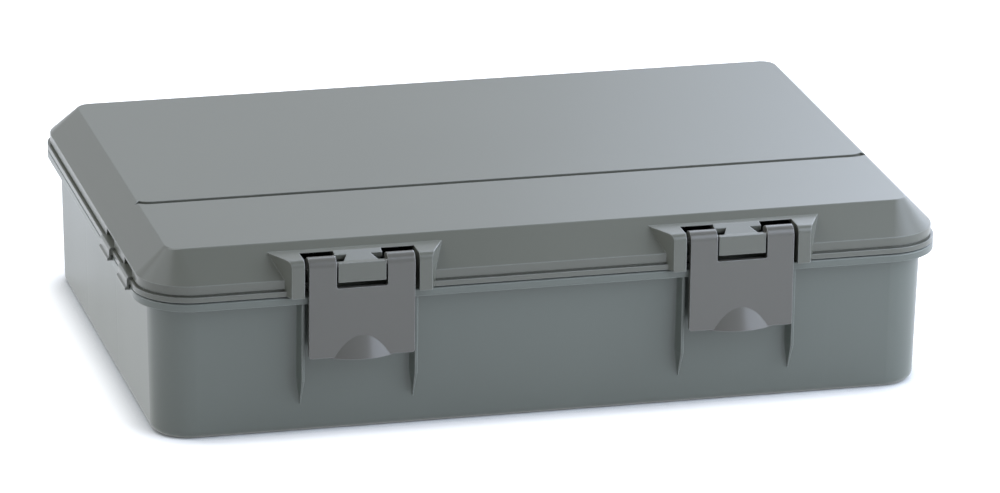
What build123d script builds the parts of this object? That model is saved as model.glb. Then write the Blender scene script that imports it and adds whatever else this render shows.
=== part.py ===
from build123d import *
from math import asin, atan2, cos, degrees, hypot, radians, sin
import os

os.makedirs("parts", exist_ok=True)

# Rig case: a deep tray with three lanes and loose dividers, a bevelled lid on two rear
# hinges, and two latches at the front. X runs left to right, Y front to back, Z up.
# The origin is under the middle of the tray. All sizes are in millimetres.

# The closed case
case_length = 356.0
case_width = 244.4
case_height = 83.6
rim_corner = 24.0
seam_height = 63.75
seam_gap = 0.5

# Tray: walls, floor and rim
tray_wall = 2.2
tray_floor = 2.4
wall_draft = 1.5
bottom_round = 3.5
flange_reach = 5.9
flange_thickness = 3.45
flange_edge = 0.5
tongue_thickness = 1.6
tongue_height = 2.4
tongue_clearance = 0.5

# Tray: lane walls, and the ribs that guide the dividers
front_lane_wall_y = -28.0
rear_lane_wall_y = 42.0
lane_wall = 1.8
lane_wall_drop = 1.4
guide_count = 7
guide_rib = 1.2
guide_depth = 1.5

# Loose dividers, four to a lane
divider_thickness = 1.4
divider_clearance = 0.2
divider_drop = 1.5
divider_corner = 2.0
divider_grip_width = 18.0
divider_grip_depth = 4.0
divider_grip_slope = 60.0
divider_guides = (-3, -1, 1, 3)

# Lid shell
lid_wall = 2.2
lip_height = 2.3
groove_height = 0.7
groove_inset = 1.8
skirt_step = 1.2
skirt_height = 3.95
bevel_end = 13.3
bevel_front = 15.5
bevel_rear = 19.4
top_corner = 6.5
top_edge = 0.3
top_groove_y = -43.5
top_groove_width = 3.4
top_groove_depth = 1.2
top_groove_curl = 6.4
top_groove_rise = 2.5

# Latches, and the housings on the lid that hold them
latch_x = 84.0
latch_width = 46.2
latch_bottom = 36.4
latch_thickness = 2.2
latch_corner = 1.2
arm_width = 11.9
arm_radius = 4.2
arm_gusset_drop = 8.0
window_rise = 3.15
window_corner = 1.0
latch_pin_radius = 1.2
housing_reach = 3.3
housing_depth = 15.3
housing_flare = 7.5
housing_round = 3.2
plateau_rise = 2.1
ear_thickness = 5.6
ear_drop = 0.35
latch_side_gap = 1.95
pocket_gap = 3.1
slot_sill = 2.3
slot_roof = 1.2
slot_roof_edge = 0.3
slot_depth = 7.0
hook_width = 20.8
hook_front_gap = 0.3
hook_lift = 2.5
hook_cover = 0.7
hook_neck_front = 15.2
hook_neck_back = 10.4
hook_notch_depth = 5.2
hook_round = 1.5
jaw_height = 5.65
mouth_width = 2.1
jaw_lap = 1.4
jaw_slope = 0.7
thumb_top = 45.9
thumb_half_width = 12.5
thumb_reach = 3.2
thumb_wall = 1.8
thumb_drop = 0.5

# Catch of each latch under the tray's rim
bead_height = 0.8
bead_depth = 1.0
bead_length = 36.0
catch_length = 34.0
catch_clearance = 0.3
catch_root = 3.4
catch_tip = 2.2
catch_lip = 1.5

# Guide ribs beside each latch, on the tray's front wall
keel_gap = 1.1
keel_edge = 1.2
keel_root = 4.0
keel_setback = 1.0
keel_taper_height = 25.0
keel_tip_height = 12.5
keel_tip_width = 0.3

# Snap hooks at the ends of the lid, which clip under a ledge of the tray's rim
snap_places = (-43.5, -83.0)
snap_length = 19.0
snap_wall = 1.1
snap_rise = 0.4
snap_drop = 1.85
snap_foot = 0.8
snap_bead = 0.8
snap_lap = 0.9
snap_clearance = 0.2
snap_slot_height = 2.9
snap_slot_depth = 3.0

# Rear hinges
hinge_x = 95.0
hinge_length = 44.0
hinge_middle = 16.0
hinge_gap = 0.4
hinge_radius = 4.0
hinge_pin_radius = 1.25
hinge_pin_recess = 0.8
hinge_gusset = 12.0
lid_opening = 105.0
heel_thickness = 2.4
heel_reach = 3.0

# Clearance on the radius where a knuckle or hook turns on its pin. A pin is pressed into
# the piece that carries it, so there hole and pin have one size.
running_fit = 0.05

# Heights and places that follow from the sizes above
rim_y = case_width / 2
flange_bottom = seam_height - flange_thickness
lane_wall_top = seam_height - lane_wall_drop
guide_pitch = (case_length - 2 * (flange_reach + tray_wall)) / (guide_count + 1)
lid_bottom = seam_height + seam_gap
skirt_bottom = lid_bottom + lip_height + groove_height
bevel_foot = skirt_bottom + skirt_height
skirt_inset = skirt_step + lid_wall
window_bottom = lid_bottom + window_rise
hook_bottom = window_bottom + hook_lift
pivot_z = hook_bottom + jaw_height + mouth_width / 2
hook_top = pivot_z + latch_pin_radius + hook_cover
plateau_height = hook_top + plateau_rise
latch_front = -(rim_y + housing_reach)
latch_back = latch_front + latch_thickness
pivot_y = latch_front + arm_radius
pocket_back = pivot_y + arm_radius + pocket_gap
pocket_width = latch_width + 2 * latch_side_gap
ear_front_half = pocket_width / 2 + ear_thickness
hinge_y = rim_y + hinge_radius + hinge_gap
hinge_z = seam_height + seam_gap / 2


def wall_inset(height):
    """How far the tray's outer wall face lies inside the rim's edge at a height."""
    return flange_reach + wall_draft * (1 - height / flange_bottom)


def inner_wall_y(height):
    """Distance of the front and rear walls' inner faces from the middle."""
    return rim_y - wall_inset(height) - tray_wall


def rim_outline(height, inset):
    """The rim's plan outline at a height, drawn in by an inset."""
    with BuildSketch(Plane.XY.offset(height)) as outline:
        RectangleRounded(case_length - 2 * inset, case_width - 2 * inset, rim_corner - inset)
    return outline.sketch


def top_outline(height, inset):
    """The plan outline of the lid's flat top, drawn in by an inset."""
    length = case_length - 2 * (bevel_end + inset)
    width = case_width - bevel_front - bevel_rear - 2 * inset
    with BuildSketch(Plane.XY.offset(height)) as outline:
        with Locations((0, (bevel_front - bevel_rear) / 2)):
            RectangleRounded(length, width, top_corner - inset)
    return outline.sketch


# Lane walls and divider guides: drawn as plain strips, then trimmed to the leaning walls
with BuildPart() as lane_walls:
    wall_guide_span = 2 * (wall_inset(0) + tray_wall + guide_depth)
    lane_guide_span = lane_wall + 2 * guide_depth
    guide_offset = divider_thickness / 2 + divider_clearance + guide_rib / 2
    guide_middles = [(i - (guide_count - 1) / 2) * guide_pitch for i in range(guide_count)]
    with BuildSketch(Plane.XY.offset(tray_floor / 2)):
        with Locations((0, front_lane_wall_y), (0, rear_lane_wall_y)):
            Rectangle(case_length, lane_wall)
        for x in guide_middles:
            for side in (-1, 1):
                with Locations((x + side * guide_offset, -rim_y), (x + side * guide_offset, rim_y)):
                    Rectangle(guide_rib, wall_guide_span)
                with Locations(
                    (x + side * guide_offset, front_lane_wall_y),
                    (x + side * guide_offset, rear_lane_wall_y),
                ):
                    Rectangle(guide_rib, lane_guide_span)
    extrude(amount=lane_wall_top - tray_floor / 2)
    loft(
        sections=[
            rim_outline(tray_floor / 2, wall_inset(tray_floor / 2) + tray_wall / 2),
            rim_outline(lane_wall_top, wall_inset(lane_wall_top) + tray_wall / 2),
        ],
        ruled=True,
        mode=Mode.INTERSECT,
    )

# One guide rib of the front wall: a keel that stands out from the wall and runs to a point
with BuildPart() as keel:
    for height, edge, root, front in (
        (flange_bottom, keel_edge, keel_root, keel_setback),
        (keel_taper_height, keel_edge, keel_root, keel_setback),
        (keel_tip_height, keel_tip_width, keel_tip_width, wall_inset(keel_tip_height)),
    ):
        root_y = -(rim_y - wall_inset(height) - tray_wall / 2)
        with BuildSketch(Plane.XY.offset(height)):
            with BuildLine():
                Polyline(
                    (-root / 2, root_y),
                    (-edge / 2, -(rim_y - front)),
                    (edge / 2, -(rim_y - front)),
                    (root / 2, root_y),
                    close=True,
                )
            make_face()
    loft(ruled=True)

# Tray
with BuildPart() as base_tray:
    # Walls and floor, leaning in a little towards the bottom
    loft(
        sections=[rim_outline(0, wall_inset(0)), rim_outline(flange_bottom, flange_reach)],
        ruled=True,
    )
    fillet(base_tray.edges().group_by(Axis.Z)[0], bottom_round)
    # Rim flange all round
    extrude(rim_outline(flange_bottom, 0), amount=flange_thickness)
    chamfer(base_tray.edges().group_by(Axis.Z)[-1], flange_edge)
    # Tongue that finds the lid's skirt, open where the latch pockets come down
    tongue_inset = skirt_inset + tongue_clearance
    tongue_gap = pocket_width + 2 * (lid_wall + tongue_clearance)
    with BuildSketch(Plane.XY.offset(seam_height)):
        add(rim_outline(0, tongue_inset))
        add(rim_outline(0, tongue_inset + tongue_thickness), mode=Mode.SUBTRACT)
        with Locations((-latch_x, -rim_y), (latch_x, -rim_y)):
            Rectangle(tongue_gap, 4 * (tongue_inset + tongue_thickness), mode=Mode.SUBTRACT)
    extrude(amount=tongue_height)
    # Inside
    loft(
        sections=[
            rim_outline(tray_floor, wall_inset(tray_floor) + tray_wall),
            rim_outline(seam_height, wall_inset(seam_height) + tray_wall),
        ],
        ruled=True,
        mode=Mode.SUBTRACT,
    )
    add(lane_walls.part)
    # Keels beside the latches, and the bead under the rim that each latch hooks behind
    keel_offset = latch_width / 2 + keel_gap + keel_edge / 2
    for x in (-latch_x, latch_x):
        with Locations((x - keel_offset, 0), (x + keel_offset, 0)):
            add(keel.part)
    with BuildSketch(Plane.XY.offset(flange_bottom - bead_height)):
        bead_y = -rim_y + bead_depth / 2
        with Locations((-latch_x, bead_y), (latch_x, bead_y)):
            Rectangle(bead_length, bead_depth)
    extrude(amount=bead_height + flange_thickness / 2)
    # Notches in the rim's ends, each below a ledge that a snap hook of the lid clips under
    notch_top = seam_height - snap_drop + snap_foot + snap_clearance
    with BuildSketch(Plane.XY.offset(notch_top)):
        for side in (-1, 1):
            for y in snap_places:
                with Locations((side * case_length / 2, y)):
                    Rectangle(2 * snap_lap, snap_length + 2 * snap_clearance)
    extrude(amount=flange_bottom - notch_top, mode=Mode.SUBTRACT)
    # Hinge knuckles on gussets, two to a hinge, bored for the pin
    outer_knuckle = (hinge_length - hinge_middle) / 2 - hinge_gap
    for x in (-hinge_x, hinge_x):
        for start in (x - hinge_length / 2, x + hinge_length / 2 - outer_knuckle):
            gusset_foot = flange_bottom - hinge_gusset
            with BuildSketch(Plane.YZ.offset(start)):
                with BuildLine():
                    Polyline(
                        (rim_y - wall_inset(gusset_foot) - tray_wall / 2, gusset_foot),
                        (hinge_y + hinge_radius * 0.6, hinge_z - hinge_radius * 0.8),
                        (hinge_y, hinge_z),
                        (hinge_y, seam_height),
                        (rim_y - wall_inset(gusset_foot) - tray_wall / 2, seam_height),
                        close=True,
                    )
                make_face()
                with Locations((hinge_y, hinge_z)):
                    Circle(hinge_radius)
                    Circle(hinge_pin_radius, mode=Mode.SUBTRACT)
            extrude(amount=outer_knuckle)
base_tray.part.label = "base_tray"
export_step(base_tray.part, "parts/base_tray.step")

# Loose dividers: each stands between two pairs of ribs and follows the lean of the walls
divider_bottom = tray_floor + divider_clearance
divider_top = lane_wall_top - divider_drop
lane_half = lane_wall / 2 + divider_clearance
wall_low = inner_wall_y(divider_bottom) - divider_clearance
wall_high = inner_wall_y(divider_top) - divider_clearance
lanes = {
    "front": (-wall_low, -wall_high, front_lane_wall_y - lane_half, front_lane_wall_y - lane_half),
    "middle": (
        front_lane_wall_y + lane_half,
        front_lane_wall_y + lane_half,
        rear_lane_wall_y - lane_half,
        rear_lane_wall_y - lane_half,
    ),
    "rear": (rear_lane_wall_y + lane_half, rear_lane_wall_y + lane_half, wall_low, wall_high),
}
for lane, (front_low, front_high, rear_low, rear_high) in lanes.items():
    for number, guide in enumerate(divider_guides, start=1):
        with BuildPart() as divider:
            with BuildSketch(Plane.YZ.offset(guide * guide_pitch)) as profile:
                with BuildLine():
                    Polyline(
                        (front_low, divider_bottom),
                        (rear_low, divider_bottom),
                        (rear_high, divider_top),
                        (front_high, divider_top),
                        close=True,
                    )
                make_face()
                chamfer(profile.vertices(), divider_corner)
                with Locations(((front_high + rear_high) / 2, divider_top)):
                    Trapezoid(
                        divider_grip_width,
                        2 * divider_grip_depth,
                        divider_grip_slope,
                        rotation=180,
                        mode=Mode.SUBTRACT,
                    )
            extrude(amount=divider_thickness / 2, both=True)
        divider.part.label = f"divider_{lane}_{number}"
        export_step(divider.part, f"parts/divider_{lane}_{number}.step")

# Hollow of the lid, kept clear of the two latch pockets
with BuildPart() as lid_hollow:
    inner_foot = bevel_foot - lid_wall / 3
    extrude(rim_outline(lid_bottom, skirt_inset), amount=inner_foot - lid_bottom)
    loft(
        sections=[
            rim_outline(inner_foot, skirt_inset),
            top_outline(case_height - lid_wall, lid_wall / 4),
        ],
        ruled=True,
    )
    with BuildSketch(Plane.XY.offset(lid_bottom)):
        pocket_depth = rim_y + pocket_back + lid_wall
        with Locations((-latch_x, -rim_y), (latch_x, -rim_y)):
            Rectangle(pocket_width + 2 * lid_wall, 2 * pocket_depth)
    extrude(amount=case_height - lid_bottom, mode=Mode.SUBTRACT)

# Latch housing: a block with a level top whose sides flare out to meet the bevel
with BuildPart() as housing:
    with BuildSketch(Plane.XY.offset(lid_bottom)):
        with BuildLine():
            Polyline(
                (-ear_front_half, latch_front),
                (ear_front_half, latch_front),
                (ear_front_half + housing_flare, latch_front + housing_depth),
                (ear_front_half + housing_flare, latch_front + housing_depth + lid_wall),
                (-ear_front_half - housing_flare, latch_front + housing_depth + lid_wall),
                (-ear_front_half - housing_flare, latch_front + housing_depth),
                close=True,
            )
        make_face()
    extrude(amount=plateau_height - lid_bottom)
    fillet(
        housing.edges().filter_by(Axis.X).group_by(Axis.Z)[-1].sort_by(Axis.Y)[0],
        housing_round,
    )
    # The ears hang a little below the seam, in front of the tray's rim
    with BuildSketch(Plane.XY.offset(lid_bottom - ear_drop)):
        ear_depth = housing_reach - seam_gap
        with Locations((0, latch_front + ear_depth / 2)):
            Rectangle(2 * ear_front_half, ear_depth)
    extrude(amount=ear_drop)

# Knuckle of the lid in the middle of each latch: a hook with its mouth to the back. The
# latch's pin goes up behind it and snaps forward over the lower jaw.
with BuildPart() as hook:
    hook_front = latch_front + hook_front_gap
    with BuildSketch(Plane.YZ) as hook_profile:
        with BuildLine():
            Polyline(
                (pocket_back + lid_wall / 2, plateau_height),
                (pocket_back, plateau_height),
                (hook_front + 2 * hook_round, hook_top),
                (hook_front, hook_top),
                (hook_front, hook_bottom),
                (pivot_y + jaw_lap - jaw_slope, hook_bottom),
                (pivot_y + jaw_lap, pivot_z - mouth_width / 2),
                (pivot_y, pivot_z - mouth_width / 2),
                (pivot_y, pivot_z + mouth_width / 2),
                (pocket_back + lid_wall / 2, pivot_z + mouth_width / 2),
                close=True,
            )
        make_face()
        fillet(hook_profile.vertices().group_by(Axis.Y)[0].sort_by(Axis.Z)[-1], hook_round)
        with Locations((pivot_y, pivot_z)):
            Circle(latch_pin_radius + running_fit, mode=Mode.SUBTRACT)
    extrude(amount=hook_width / 2, both=True)
    # Beside the neck the hook is open at the top, behind its front wall
    with BuildSketch(Plane.XY.offset(pivot_z)):
        notch_front = pivot_y - latch_pin_radius - running_fit
        with BuildLine():
            Polyline(
                (hook_width / 2, notch_front),
                (hook_neck_front / 2, notch_front),
                (hook_neck_back / 2, notch_front + hook_notch_depth),
                (hook_width / 2, notch_front + hook_notch_depth),
                close=True,
            )
        make_face()
        mirror(about=Plane.YZ)
    extrude(amount=plateau_height - pivot_z, mode=Mode.SUBTRACT)

# Slots behind the arms of a latch, through the back of its pocket into the lid's hollow
with BuildPart() as arm_slots:
    slot_top = plateau_height - slot_roof
    with BuildSketch(Plane.YZ.offset(hook_width / 2)):
        with BuildLine():
            Polyline(
                (pocket_back - pocket_gap / 2, lid_bottom + slot_sill),
                (pocket_back + slot_depth, lid_bottom + slot_sill),
                (pocket_back + slot_depth, slot_top),
                (pocket_back + slot_depth / 2, slot_top),
                (pocket_back, plateau_height - slot_roof_edge),
                (pocket_back - pocket_gap / 2, plateau_height - slot_roof_edge),
                close=True,
            )
        make_face()
    extrude(amount=(pocket_width - hook_width) / 2)
    mirror(about=Plane.YZ)

# Lid
with BuildPart() as lid:
    # Rim in three bands: the lip, a groove all round, and the skirt
    extrude(rim_outline(lid_bottom, 0), amount=lip_height)
    extrude(rim_outline(lid_bottom + lip_height, groove_inset), amount=groove_height)
    extrude(rim_outline(skirt_bottom, skirt_step), amount=skirt_height)
    # Bevel up to the flat top, which lies nearer the front than the back, with a narrow
    # chamfer round its edge
    loft(
        sections=[
            rim_outline(bevel_foot, skirt_step),
            top_outline(case_height - top_edge, -top_edge),
            top_outline(case_height, top_edge),
        ],
        ruled=True,
    )
    # Groove along the top, with its ends curled back
    groove_end = case_length / 2 - bevel_end
    with BuildSketch(Plane.XY.offset(case_height)):
        with BuildLine() as groove_line:
            bend = groove_end - top_groove_curl
            Line((-bend, top_groove_y), (bend, top_groove_y))
            for side in (-1, 1):
                TangentArc(
                    (side * bend, top_groove_y),
                    (side * groove_end, top_groove_y + top_groove_rise),
                    tangent=(side, 0),
                )
        trace(groove_line.edges(), top_groove_width)
    extrude(amount=-top_groove_depth, mode=Mode.SUBTRACT)
    # Latch housings, hollow, pockets, slots and hooks
    with Locations((-latch_x, 0), (latch_x, 0)):
        add(housing.part)
    add(lid_hollow.part, mode=Mode.SUBTRACT)
    with BuildSketch(Plane.XY.offset(lid_bottom - 2 * ear_drop)):
        with Locations((-latch_x, pocket_back), (latch_x, pocket_back)):
            Rectangle(pocket_width, 4 * arm_radius, align=(Align.CENTER, Align.MAX))
    extrude(amount=case_height, mode=Mode.SUBTRACT)
    with Locations((-latch_x, 0), (latch_x, 0)):
        add(arm_slots.part, mode=Mode.SUBTRACT)
        add(hook.part)
    # Snap hooks, with the moulding slot above each
    snap_face = case_length / 2 + catch_clearance
    snap_top = skirt_bottom + snap_rise
    snap_bottom = seam_height - snap_drop
    for side in (-1, 1):
        for y in snap_places:
            with BuildSketch(Plane.XZ.offset(-y)):
                with BuildLine():
                    Polyline(
                        (side * (case_length / 2 - skirt_inset), snap_top),
                        (side * (snap_face + snap_wall / 2), snap_top),
                        (side * (snap_face + snap_wall), snap_top - snap_wall),
                        (side * (snap_face + snap_wall), snap_bottom + snap_foot + snap_bead),
                        (side * (snap_face + snap_wall + snap_bead), snap_bottom + snap_foot),
                        (side * (snap_face + snap_wall + snap_bead), snap_bottom),
                        (side * (snap_face - snap_lap), snap_bottom),
                        (side * (snap_face - snap_lap), snap_bottom + snap_foot),
                        (side * snap_face, snap_bottom + snap_foot),
                        (side * snap_face, lid_bottom),
                        (side * (case_length / 2 - skirt_inset), lid_bottom),
                        close=True,
                    )
                make_face()
            extrude(amount=snap_length / 2, both=True)
            with BuildSketch(Plane.XY.offset(snap_top)):
                with Locations((side * (case_length / 2 - skirt_step), y)):
                    Rectangle(snap_slot_depth, snap_length - 2 * snap_wall)
            extrude(amount=snap_slot_height, mode=Mode.SUBTRACT)
    # Middle knuckle of each hinge, with the heel that stops the lid against the rim
    corner_angle = degrees(atan2(flange_bottom - hinge_z, rim_y - hinge_y))
    corner_distance = hypot(flange_bottom - hinge_z, rim_y - hinge_y)
    heel_swing = degrees(asin((heel_thickness / 2 + seam_gap) / corner_distance))
    heel_angle = corner_angle + heel_swing + lid_opening
    for x in (-hinge_x, hinge_x):
        with BuildSketch(Plane.YZ.offset(x)):
            with BuildLine():
                Polyline(
                    (rim_y - skirt_inset, lid_bottom),
                    (hinge_y, lid_bottom),
                    (hinge_y, hinge_z + hinge_radius),
                    (rim_y - skirt_inset, lid_bottom + lip_height),
                    close=True,
                )
            make_face()
            with Locations((hinge_y, hinge_z)):
                Circle(hinge_radius)
                with Locations(
                    Location(
                        (
                            (hinge_radius + heel_reach) / 2 * cos(radians(heel_angle)),
                            (hinge_radius + heel_reach) / 2 * sin(radians(heel_angle)),
                        ),
                        heel_angle,
                    )
                ):
                    Rectangle(hinge_radius + heel_reach, heel_thickness)
                Circle(hinge_pin_radius + running_fit, mode=Mode.SUBTRACT)
        extrude(amount=hinge_middle / 2, both=True)
lid.part.label = "lid"
export_step(lid.part, "parts/lid.step")

# Thumb lip of the latch: part of a tilted cylinder, with the same wall all over
thumb_tilt = degrees(atan2(thumb_reach, thumb_top - latch_bottom))
thumb_radius = (thumb_half_width**2 + thumb_reach**2) / (2 * thumb_reach)
thumb_plane = Plane(
    origin=(
        0,
        latch_front + thumb_radius * cos(radians(thumb_tilt)),
        thumb_top - thumb_radius * sin(radians(thumb_tilt)),
    ),
    x_dir=(1, 0, 0),
    z_dir=(0, -sin(radians(thumb_tilt)), -cos(radians(thumb_tilt))),
)
thumb_length = 2 * (thumb_top - latch_bottom)
with BuildPart() as thumb_lip:
    with BuildSketch(thumb_plane):
        Circle(thumb_radius)
    extrude(amount=thumb_length, both=True)
    split(bisect_by=Plane.XZ.offset(-latch_back), keep=Keep.TOP)
    split(bisect_by=Plane.XY.offset(latch_bottom - thumb_drop), keep=Keep.TOP)
with BuildPart() as thumb_hollow:
    with BuildSketch(thumb_plane):
        Circle(thumb_radius - thumb_wall)
    extrude(amount=thumb_length, both=True)
    split(bisect_by=Plane.XY.offset(thumb_top), keep=Keep.BOTTOM)

# Latch: plate, two arms round the pin, the catch behind, and the thumb lip
with BuildPart() as latch:
    with BuildSketch(Plane.XZ.offset(-latch_front)) as plate:
        with Locations((0, latch_bottom)):
            Rectangle(latch_width, pivot_z - latch_bottom, align=(Align.CENTER, Align.MIN))
        fillet(plate.vertices().group_by(Axis.Z)[0], latch_corner)
        with Locations((0, window_bottom)):
            RectangleRounded(
                latch_width - 2 * arm_width,
                pivot_z,
                window_corner,
                align=(Align.CENTER, Align.MIN),
                mode=Mode.SUBTRACT,
            )
    extrude(amount=-latch_thickness)
    add(thumb_lip.part)
    add(thumb_hollow.part, mode=Mode.SUBTRACT)
    for start in (-latch_width / 2, latch_width / 2 - arm_width):
        with BuildSketch(Plane.YZ.offset(start)):
            with BuildLine():
                Polyline(
                    (latch_front, pivot_z),
                    (pivot_y, pivot_z),
                    (pivot_y + arm_radius * 0.8, pivot_z - arm_radius * 0.6),
                    (latch_back, pivot_z - arm_gusset_drop),
                    (latch_front, pivot_z - arm_gusset_drop),
                    close=True,
                )
            make_face()
            with Locations((pivot_y, pivot_z)):
                Circle(arm_radius)
                Circle(latch_pin_radius, mode=Mode.SUBTRACT)
        extrude(amount=arm_width)
    # Catch: a ledge under the rim's bead with a lip that snaps in behind it
    ledge_top = flange_bottom - bead_height - catch_clearance
    lip_front = -rim_y + bead_depth + catch_clearance
    with BuildSketch(Plane.YZ):
        with BuildLine():
            Polyline(
                (latch_back, ledge_top),
                (lip_front, ledge_top),
                (lip_front, flange_bottom - catch_clearance),
                (lip_front + catch_lip, flange_bottom - catch_clearance),
                (lip_front + catch_lip, ledge_top - catch_tip),
                (latch_back, ledge_top - catch_root),
                close=True,
            )
        make_face()
    extrude(amount=catch_length / 2, both=True)

for side, name in ((-1, "left"), (1, "right")):
    with BuildPart() as placed_latch:
        with Locations((side * latch_x, 0)):
            add(latch.part)
    placed_latch.part.label = f"latch_{name}"
    export_step(placed_latch.part, f"parts/latch_{name}.step")

    with BuildPart() as latch_pin:
        with BuildSketch(Plane.YZ.offset(side * latch_x)):
            with Locations((pivot_y, pivot_z)):
                Circle(latch_pin_radius)
        extrude(amount=latch_width / 2 - hinge_pin_recess, both=True)
    latch_pin.part.label = f"latch_pin_{name}"
    export_step(latch_pin.part, f"parts/latch_pin_{name}.step")

    with BuildPart() as hinge_pin:
        with BuildSketch(Plane.YZ.offset(side * hinge_x)):
            with Locations((hinge_y, hinge_z)):
                Circle(hinge_pin_radius)
        extrude(amount=hinge_length / 2 - hinge_pin_recess, both=True)
    hinge_pin.part.label = f"hinge_pin_{name}"
    export_step(hinge_pin.part, f"parts/hinge_pin_{name}.step")
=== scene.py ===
from math import radians

import bpy
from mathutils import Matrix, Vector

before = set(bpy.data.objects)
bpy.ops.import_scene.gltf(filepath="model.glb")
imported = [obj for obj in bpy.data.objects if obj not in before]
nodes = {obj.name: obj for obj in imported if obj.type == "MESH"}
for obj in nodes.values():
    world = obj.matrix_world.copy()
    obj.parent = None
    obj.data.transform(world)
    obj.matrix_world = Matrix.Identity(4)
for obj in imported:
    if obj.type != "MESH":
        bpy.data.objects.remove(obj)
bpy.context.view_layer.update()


# The camera: a long lens on a tripod, in front of the case, a little to its left and above.
# Its place, turn and focal length were worked out from the case's corners in the photograph.
camera_data = bpy.data.cameras.new("long_lens")
camera_data.sensor_width = 36.0
camera_data.lens = 229.77
camera_data.clip_end = 50.0
camera = bpy.data.objects.new("long_lens", camera_data)
camera.location = (-0.671256, -2.617568, 0.955770)
camera.rotation_euler = (radians(71.2389), radians(-0.7299), radians(-14.3123))
bpy.context.scene.collection.objects.link(camera)
bpy.context.scene.camera = camera
bpy.context.scene.view_settings.view_transform = "Standard"


# The table: a matt white board, wide enough that its edge is never seen. To the camera, and in
# reflections, it is lifted to white as in a studio picture. Where the case stands close over the
# board, the camera sees less of the lift, so the real soft shadow round its foot stays and is
# deepened by a painted shadow taken from the board's occlusion.
table_white = "#E4E4E4"
table_lift = 0.68
table_half = 6.0
shade_reach = 0.016
shade_full = 0.45


def linear(code):
    """A colour written as sRGB hex, as linear red, green, blue and alpha."""
    shares = [int(code[i : i + 2], 16) / 255 for i in (1, 3, 5)]
    return [c / 12.92 if c <= 0.04045 else ((c + 0.055) / 1.055) ** 2.4 for c in shares] + [1.0]


def add_node(tree, kind, settings=None, links=None):
    """Adds a node. Settings are its own properties or the values of its inputs, and links are
    the outputs that feed its inputs."""
    node = tree.nodes.new(kind)
    for name, value in (settings or {}).items():
        if isinstance(name, str) and hasattr(node, name):
            setattr(node, name, value)
        else:
            node.inputs[name].default_value = value
    for name, output in (links or {}).items():
        tree.links.new(output, node.inputs[name])
    return node


def seen_directly(tree):
    """1 for what the camera sees, directly, in a reflection or through glass, and 0 for light."""
    path = add_node(tree, "ShaderNodeLightPath")
    seen = path.outputs["Is Camera Ray"]
    for ray in ("Is Glossy Ray", "Is Transmission Ray"):
        largest = add_node(
            tree,
            "ShaderNodeMath",
            {"operation": "MAXIMUM"},
            {0: seen, 1: path.outputs[ray]},
        )
        seen = largest.outputs["Value"]
    return seen


table_mesh = bpy.data.meshes.new("table")
table_mesh.from_pydata(
    [
        (-table_half, -table_half, 0.0),
        (table_half, -table_half, 0.0),
        (table_half, table_half, 0.0),
        (-table_half, table_half, 0.0),
    ],
    [],
    [(0, 1, 2, 3)],
)
table = bpy.data.objects.new("table", table_mesh)
bpy.context.scene.collection.objects.link(table)

board = bpy.data.materials.new("matt_white_board")
board.use_nodes = True
tree = board.node_tree
tree.nodes.clear()
matt = add_node(tree, "ShaderNodeBsdfDiffuse", {"Color": linear(table_white)})
# A painted shadow: near the case the camera's lift is scaled down by the board's occlusion.
openness = add_node(
    tree,
    "ShaderNodeAmbientOcclusion",
    {"samples": 8, "Distance": shade_reach},
)
open_share = add_node(
    tree,
    "ShaderNodeMapRange",
    {"From Min": shade_full},
    {"Value": openness.outputs["AO"]},
)
ray = add_node(tree, "ShaderNodeLightPath")
lift_share = add_node(
    tree,
    "ShaderNodeMath",
    {"operation": "MAXIMUM"},
    {0: open_share.outputs["Result"], 1: ray.outputs["Is Glossy Ray"]},
)
seen_lift = add_node(
    tree,
    "ShaderNodeMath",
    {"operation": "MULTIPLY", 1: table_lift},
    {0: seen_directly(tree)},
)
lift = add_node(
    tree,
    "ShaderNodeMath",
    {"operation": "MULTIPLY"},
    {0: seen_lift.outputs["Value"], 1: lift_share.outputs["Value"]},
)
glow = add_node(
    tree,
    "ShaderNodeEmission",
    {"Color": (1.0, 1.0, 1.0, 1.0)},
    {"Strength": lift.outputs["Value"]},
)
both = add_node(
    tree,
    "ShaderNodeAddShader",
    links={0: matt.outputs["BSDF"], 1: glow.outputs["Emission"]},
)
add_node(tree, "ShaderNodeOutputMaterial", links={"Surface": both.outputs["Shader"]})
table_mesh.materials.append(board)


# The light: a studio with a grey ceiling and walls that look white but light little, and five
# soft boxes. One hangs overhead, a little behind and to the left, two stand behind the right end,
# one in front of that end lights the front more towards the right, and one lights the left end.
studio_level = 0.2
ceiling_level = 0.45
ceiling_starts = 0.5
ceiling_reached = 0.95
studio_tint = "#F2F7FF"
soft_boxes = (
    ("box_overhead", (-0.5, 0.35, 1.5), 0.8, 7.8, "#F4F8FF"),
    ("box_right_back", (1.8, 1.5, 1.6), 2.9, 72.0, "#E2ECFF"),
    ("panel_right_back", (1.3, 2.0, 0.7), 1.4, 3.6, "#DCE9FF"),
    ("box_right_front", (0.9, -0.7, 0.7), 1.4, 23.0, "#E1ECFF"),
    ("box_left", (-2.2, 0.35, 1.4), 3.0, 38.0, "#F2F8FF"),
)
lights_aim = (0.0, 0.0, 0.05)

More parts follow.
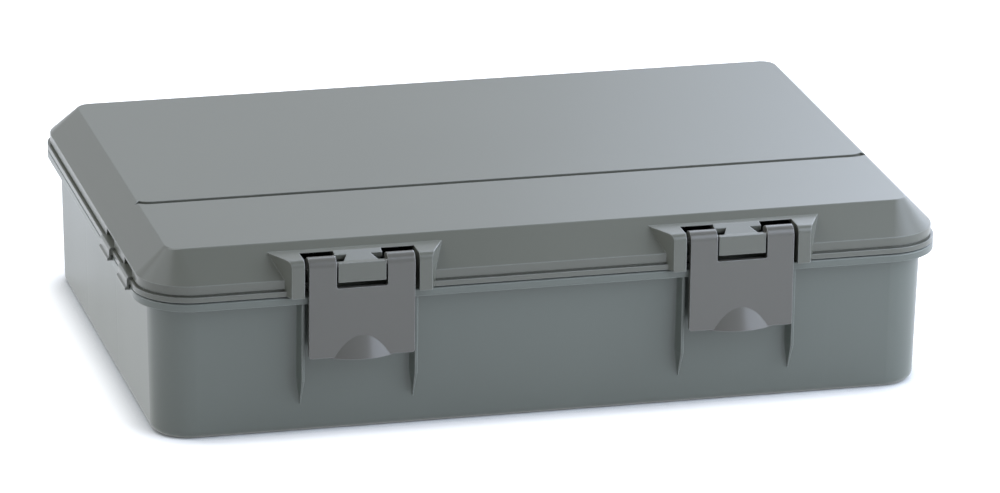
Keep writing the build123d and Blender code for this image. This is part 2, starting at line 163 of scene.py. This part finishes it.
world = bpy.data.worlds.new("white_studio")
bpy.context.scene.world = world
world.use_nodes = True
tree = world.node_tree
tree.nodes.clear()
level = add_node(
    tree,
    "ShaderNodeMapRange",
    {"To Min": studio_level, "To Max": 1.0},
    {"Value": seen_directly(tree)},
)
eye = add_node(tree, "ShaderNodeLightPath")
wall_tint = add_node(
    tree,
    "ShaderNodeMix",
    {"data_type": "RGBA", 6: linear(studio_tint), 7: (1.0, 1.0, 1.0, 1.0)},
    {0: eye.outputs["Is Camera Ray"]},
)
way = add_node(tree, "ShaderNodeTexCoord")
way_parts = add_node(tree, "ShaderNodeSeparateXYZ", links={"Vector": way.outputs["Generated"]})
ceiling = add_node(
    tree,
    "ShaderNodeMapRange",
    {
        "From Min": ceiling_starts,
        "From Max": ceiling_reached,
        "To Min": 1.0,
        "To Max": ceiling_level,
    },
    {"Value": way_parts.outputs["Z"]},
)
ceiling_seen = add_node(
    tree,
    "ShaderNodeMath",
    {"operation": "MAXIMUM"},
    {0: ceiling.outputs["Result"], 1: eye.outputs["Is Camera Ray"]},
)
strength = add_node(
    tree,
    "ShaderNodeMath",
    {"operation": "MULTIPLY"},
    {0: level.outputs["Result"], 1: ceiling_seen.outputs["Value"]},
)
surround = add_node(
    tree,
    "ShaderNodeBackground",
    links={"Color": wall_tint.outputs[2], "Strength": strength.outputs["Value"]},
)
add_node(tree, "ShaderNodeOutputWorld", links={"Surface": surround.outputs["Background"]})

for name, place, size, power, tint in soft_boxes:
    light_data = bpy.data.lights.new(name, "AREA")
    light_data.shape = "SQUARE"
    light_data.size = size
    light_data.energy = power
    light_data.color = linear(tint)[:3]
    light = bpy.data.objects.new(name, light_data)
    light.location = place
    towards = Vector(lights_aim) - Vector(place)
    light.rotation_euler = towards.to_track_quat("-Z", "Y").to_euler()
    bpy.context.scene.collection.objects.link(light)


# The tray: one injection moulding of grey polypropylene. The mould's walls were spark-eroded,
# so the surface has a fine grain that spreads the light, and the guide ribs and lane walls
# inside have left faint sink lines on the outside, where the thicker plastic shrank more.
tray_grey = "#61665F"
tray_roughness = 0.32
tray_sinks_end = (-28.0, 42.0)
tray_sink_depth_end = 14.0
tray_guide_pitch = 42.475
tray_sink_depth_side = 6.0
sink_half_width = 1.8
grain_size = 0.9
grain_height = 0.0025
flow_size = 60.0
flow_upright = 0.3
flow_from = 0.2
flow_to = 0.8
flow_shade = 0.03
flow_roughness = 0.015
# The outer edges get a painted highlight: their colour is mixed toward a light grey, standing in
# for the light that the small rounded edges catch.
edge_round = 0.6
edge_reach = 3 * edge_round
edge_turned = 0.9
edge_straight = 0.99
edge_inner = 0.75
edge_outer = 0.95
edge_painted_highlight = "#BEBFBC"
edge_painted_highlight_share = 0.35
plastic_ior = 1.49


def moulded_polypropylene(name, pigment, roughness, sinks=None):
    """Grey polypropylene from a spark-eroded mould: satin, with a fine grain, slow changes of
    shade where the plastic flowed, and rounded edges, whose outer ones are lightened by a painted
    highlight. The sizes of all these are in millimetres."""
    material = bpy.data.materials.new(name)
    material.use_nodes = True
    tree = material.node_tree
    tree.nodes.clear()
    surface = add_node(tree, "ShaderNodeTexCoord")
    millimetres = add_node(
        tree,
        "ShaderNodeVectorMath",
        {"operation": "SCALE", "Scale": 1000.0},
        {0: surface.outputs["Object"]},
    )
    place = millimetres.outputs["Vector"]

    upright = add_node(
        tree,
        "ShaderNodeVectorMath",
        {"operation": "MULTIPLY", 1: (1.0, 1.0, flow_upright)},
        {0: place},
    )
    flow = add_node(
        tree,
        "ShaderNodeTexNoise",
        {"Scale": 1 / flow_size, "Detail": 1.0},
        {"Vector": upright.outputs["Vector"]},
    )
    grain = add_node(
        tree,
        "ShaderNodeTexNoise",
        {"Scale": 1 / grain_size, "Detail": 2.0, "Roughness": 0.6},
        {"Vector": place},
    )

    rounded = add_node(tree, "ShaderNodeBevel", {"samples": 6, "Radius": edge_round / 1000})
    flat = add_node(tree, "ShaderNodeNewGeometry")
    alike = add_node(
        tree,
        "ShaderNodeVectorMath",
        {"operation": "DOT_PRODUCT"},
        {0: rounded.outputs["Normal"], 1: flat.outputs["Normal"]},
    )
    edge = add_node(
        tree,
        "ShaderNodeMapRange",
        {"From Min": edge_turned, "From Max": edge_straight, "To Min": 1.0, "To Max": 0.0},
        {"Value": alike.outputs["Value"]},
    )
    air = add_node(
        tree,
        "ShaderNodeAmbientOcclusion",
        {"samples": 4, "only_local": True, "Distance": edge_reach / 1000},
    )
    outer = add_node(
        tree,
        "ShaderNodeMapRange",
        {"From Min": edge_inner, "From Max": edge_outer},
        {"Value": air.outputs["AO"]},
    )
    outer_edge = add_node(
        tree,
        "ShaderNodeMath",
        {"operation": "MULTIPLY"},
        {0: edge.outputs["Result"], 1: outer.outputs["Result"]},
    )

    shade = add_node(
        tree,
        "ShaderNodeMapRange",
        {
            "From Min": flow_from,
            "From Max": flow_to,
            "To Min": 1.0 - flow_shade,
            "To Max": 1.0 + flow_shade,
        },
        {"Value": flow.outputs["Fac"]},
    )
    shaded = add_node(
        tree,
        "ShaderNodeVectorMath",
        {"operation": "SCALE", 0: linear(pigment)[:3]},
        {"Scale": shade.outputs["Result"]},
    )
    # A painted highlight: the outer edges are mixed toward a light grey, as where rounded edges
    # catch the light.
    highlight_share = add_node(
        tree,
        "ShaderNodeMath",
        {"operation": "MULTIPLY", 1: edge_painted_highlight_share},
        {0: outer_edge.outputs["Value"]},
    )
    painted_highlight = add_node(
        tree,
        "ShaderNodeMix",
        {"data_type": "RGBA", 7: linear(edge_painted_highlight)},
        {0: highlight_share.outputs["Value"], 6: shaded.outputs["Vector"]},
    )
    sheen = add_node(
        tree,
        "ShaderNodeMapRange",
        {
            "From Min": flow_from,
            "From Max": flow_to,
            "To Min": roughness - flow_roughness,
            "To Max": roughness + flow_roughness,
        },
        {"Value": flow.outputs["Fac"]},
    )

    height = grain.outputs["Fac"]
    if sinks:
        height = sinks(tree, surface, place, height)
    relief = add_node(
        tree,
        "ShaderNodeBump",
        {"Strength": 1.0, "Distance": grain_height / 1000},
        {"Height": height, "Normal": rounded.outputs["Normal"]},
    )
    plastic = add_node(
        tree,
        "ShaderNodeBsdfPrincipled",
        {"IOR": plastic_ior},
        {
            "Base Color": painted_highlight.outputs[2],
            "Roughness": sheen.outputs["Result"],
            "Normal": relief.outputs["Normal"],
        },
    )
    add_node(tree, "ShaderNodeOutputMaterial", links={"Surface": plastic.outputs["BSDF"]})
    return material


def sink_lines(tree, surface, place, height):
    """Lowers the surface along the outside of the lane walls and of the guide ribs. A line's
    depth is told in heights of the grain."""
    across = add_node(tree, "ShaderNodeSeparateXYZ", links={"Vector": place})
    facing = add_node(tree, "ShaderNodeSeparateXYZ", links={"Vector": surface.outputs["Normal"]})
    lines = []
    for y in tray_sinks_end:
        distance = add_node(
            tree,
            "ShaderNodeMath",
            {"operation": "SUBTRACT", 1: y},
            {0: across.outputs["Y"]},
        )
        lines.append((distance.outputs["Value"], "X", tray_sink_depth_end))
    repeat = add_node(
        tree,
        "ShaderNodeMath",
        {"operation": "PINGPONG", 1: tray_guide_pitch / 2},
        {0: across.outputs["X"]},
    )
    lines.append((repeat.outputs["Value"], "Y", tray_sink_depth_side))
    for distance, wall, depth in lines:
        size = add_node(tree, "ShaderNodeMath", {"operation": "ABSOLUTE"}, {0: distance})
        line = add_node(
            tree,
            "ShaderNodeMapRange",
            {
                "interpolation_type": "SMOOTHSTEP",
                "From Max": sink_half_width,
                "To Min": 1.0,
                "To Max": 0.0,
            },
            {"Value": size.outputs["Value"]},
        )
        on_wall = add_node(
            tree,
            "ShaderNodeMath",
            {"operation": "ABSOLUTE"},
            {0: facing.outputs[wall]},
        )
        kept = add_node(
            tree,
            "ShaderNodeMath",
            {"operation": "MULTIPLY"},
            {0: line.outputs["Result"], 1: on_wall.outputs["Value"]},
        )
        lowered = add_node(
            tree,
            "ShaderNodeMath",
            {"operation": "MULTIPLY_ADD", 1: -depth},
            {0: kept.outputs["Value"], 2: height},
        )
        height = lowered.outputs["Value"]
    return height


def coat(names, material):
    """Gives the named pieces a material in place of what they had."""
    for name in names:
        slots = nodes[name].data.materials
        slots.clear()
        slots.append(material)


tray_plastic = moulded_polypropylene(
    "moulded_polypropylene_tray", tray_grey, tray_roughness, sink_lines
)
coat(["base_tray"], tray_plastic)


# The loose dividers: thin plates of the same polypropylene, moulded on their own. They are a
# little darker and duller, as thin plates are run without the satin finish of the outside.
divider_grey = "#4C504B"
divider_roughness = 0.5
divider_plastic = moulded_polypropylene(
    "moulded_polypropylene_divider", divider_grey, divider_roughness
)
for lane in ("front", "middle", "rear"):
    coat([f"divider_{lane}_{number}" for number in range(1, 5)], divider_plastic)


# The lid: the other large moulding, of the same grey polypropylene. Its top is the show face,
# moulded smoother than the tray, so at a low angle it reflects the white room.
lid_grey = "#606158"
lid_roughness = 0.295
lid_plastic = moulded_polypropylene("moulded_polypropylene_lid", lid_grey, lid_roughness)
coat(["lid"], lid_plastic)


# The hinge pins and latch pins: lengths of drawn steel wire pressed into the plastic. Drawing
# leaves fine lines along the wire, so the highlight on it is streaked across. The sizes of these
# lines are in millimetres.
steel_grey = "#B4B3AF"
steel_smoothest = 0.24
steel_dullest = 0.44
draw_line_width = 0.12
draw_line_stretch = 40.0
draw_line_depth = 0.01
draw_line_strength = 0.6
steel = bpy.data.materials.new("drawn_steel")
steel.use_nodes = True
tree = steel.node_tree
tree.nodes.clear()
surface = add_node(tree, "ShaderNodeTexCoord")
along = add_node(
    tree,
    "ShaderNodeVectorMath",
    {"operation": "MULTIPLY", 1: (1000.0 / draw_line_stretch, 1000.0, 1000.0)},
    {0: surface.outputs["Object"]},
)
draw_lines = add_node(
    tree,
    "ShaderNodeTexNoise",
    {"Scale": 1 / draw_line_width, "Detail": 2.0},
    {"Vector": along.outputs["Vector"]},
)
dulled = add_node(
    tree,
    "ShaderNodeMapRange",
    {"To Min": steel_smoothest, "To Max": steel_dullest},
    {"Value": draw_lines.outputs["Fac"]},
)
lined = add_node(
    tree,
    "ShaderNodeBump",
    {"Strength": draw_line_strength, "Distance": draw_line_depth / 1000},
    {"Height": draw_lines.outputs["Fac"]},
)
metal = add_node(
    tree,
    "ShaderNodeBsdfPrincipled",
    {"Base Color": linear(steel_grey), "Metallic": 1.0},
    {"Roughness": dulled.outputs["Result"], "Normal": lined.outputs["Normal"]},
)
add_node(tree, "ShaderNodeOutputMaterial", links={"Surface": metal.outputs["BSDF"]})
coat(["hinge_pin_left", "hinge_pin_right", "latch_pin_left", "latch_pin_right"], steel)


# The latches: small mouldings of the same polypropylene. They were filled fast through a gate
# behind the plate, and thumbs keep them clean, so they are the glossiest pieces of the case.
latch_grey = "#5D5B55"
latch_roughness = 0.25
latch_plastic = moulded_polypropylene("moulded_polypropylene_latch", latch_grey, latch_roughness)
coat(["latch_left", "latch_right"], latch_plastic)
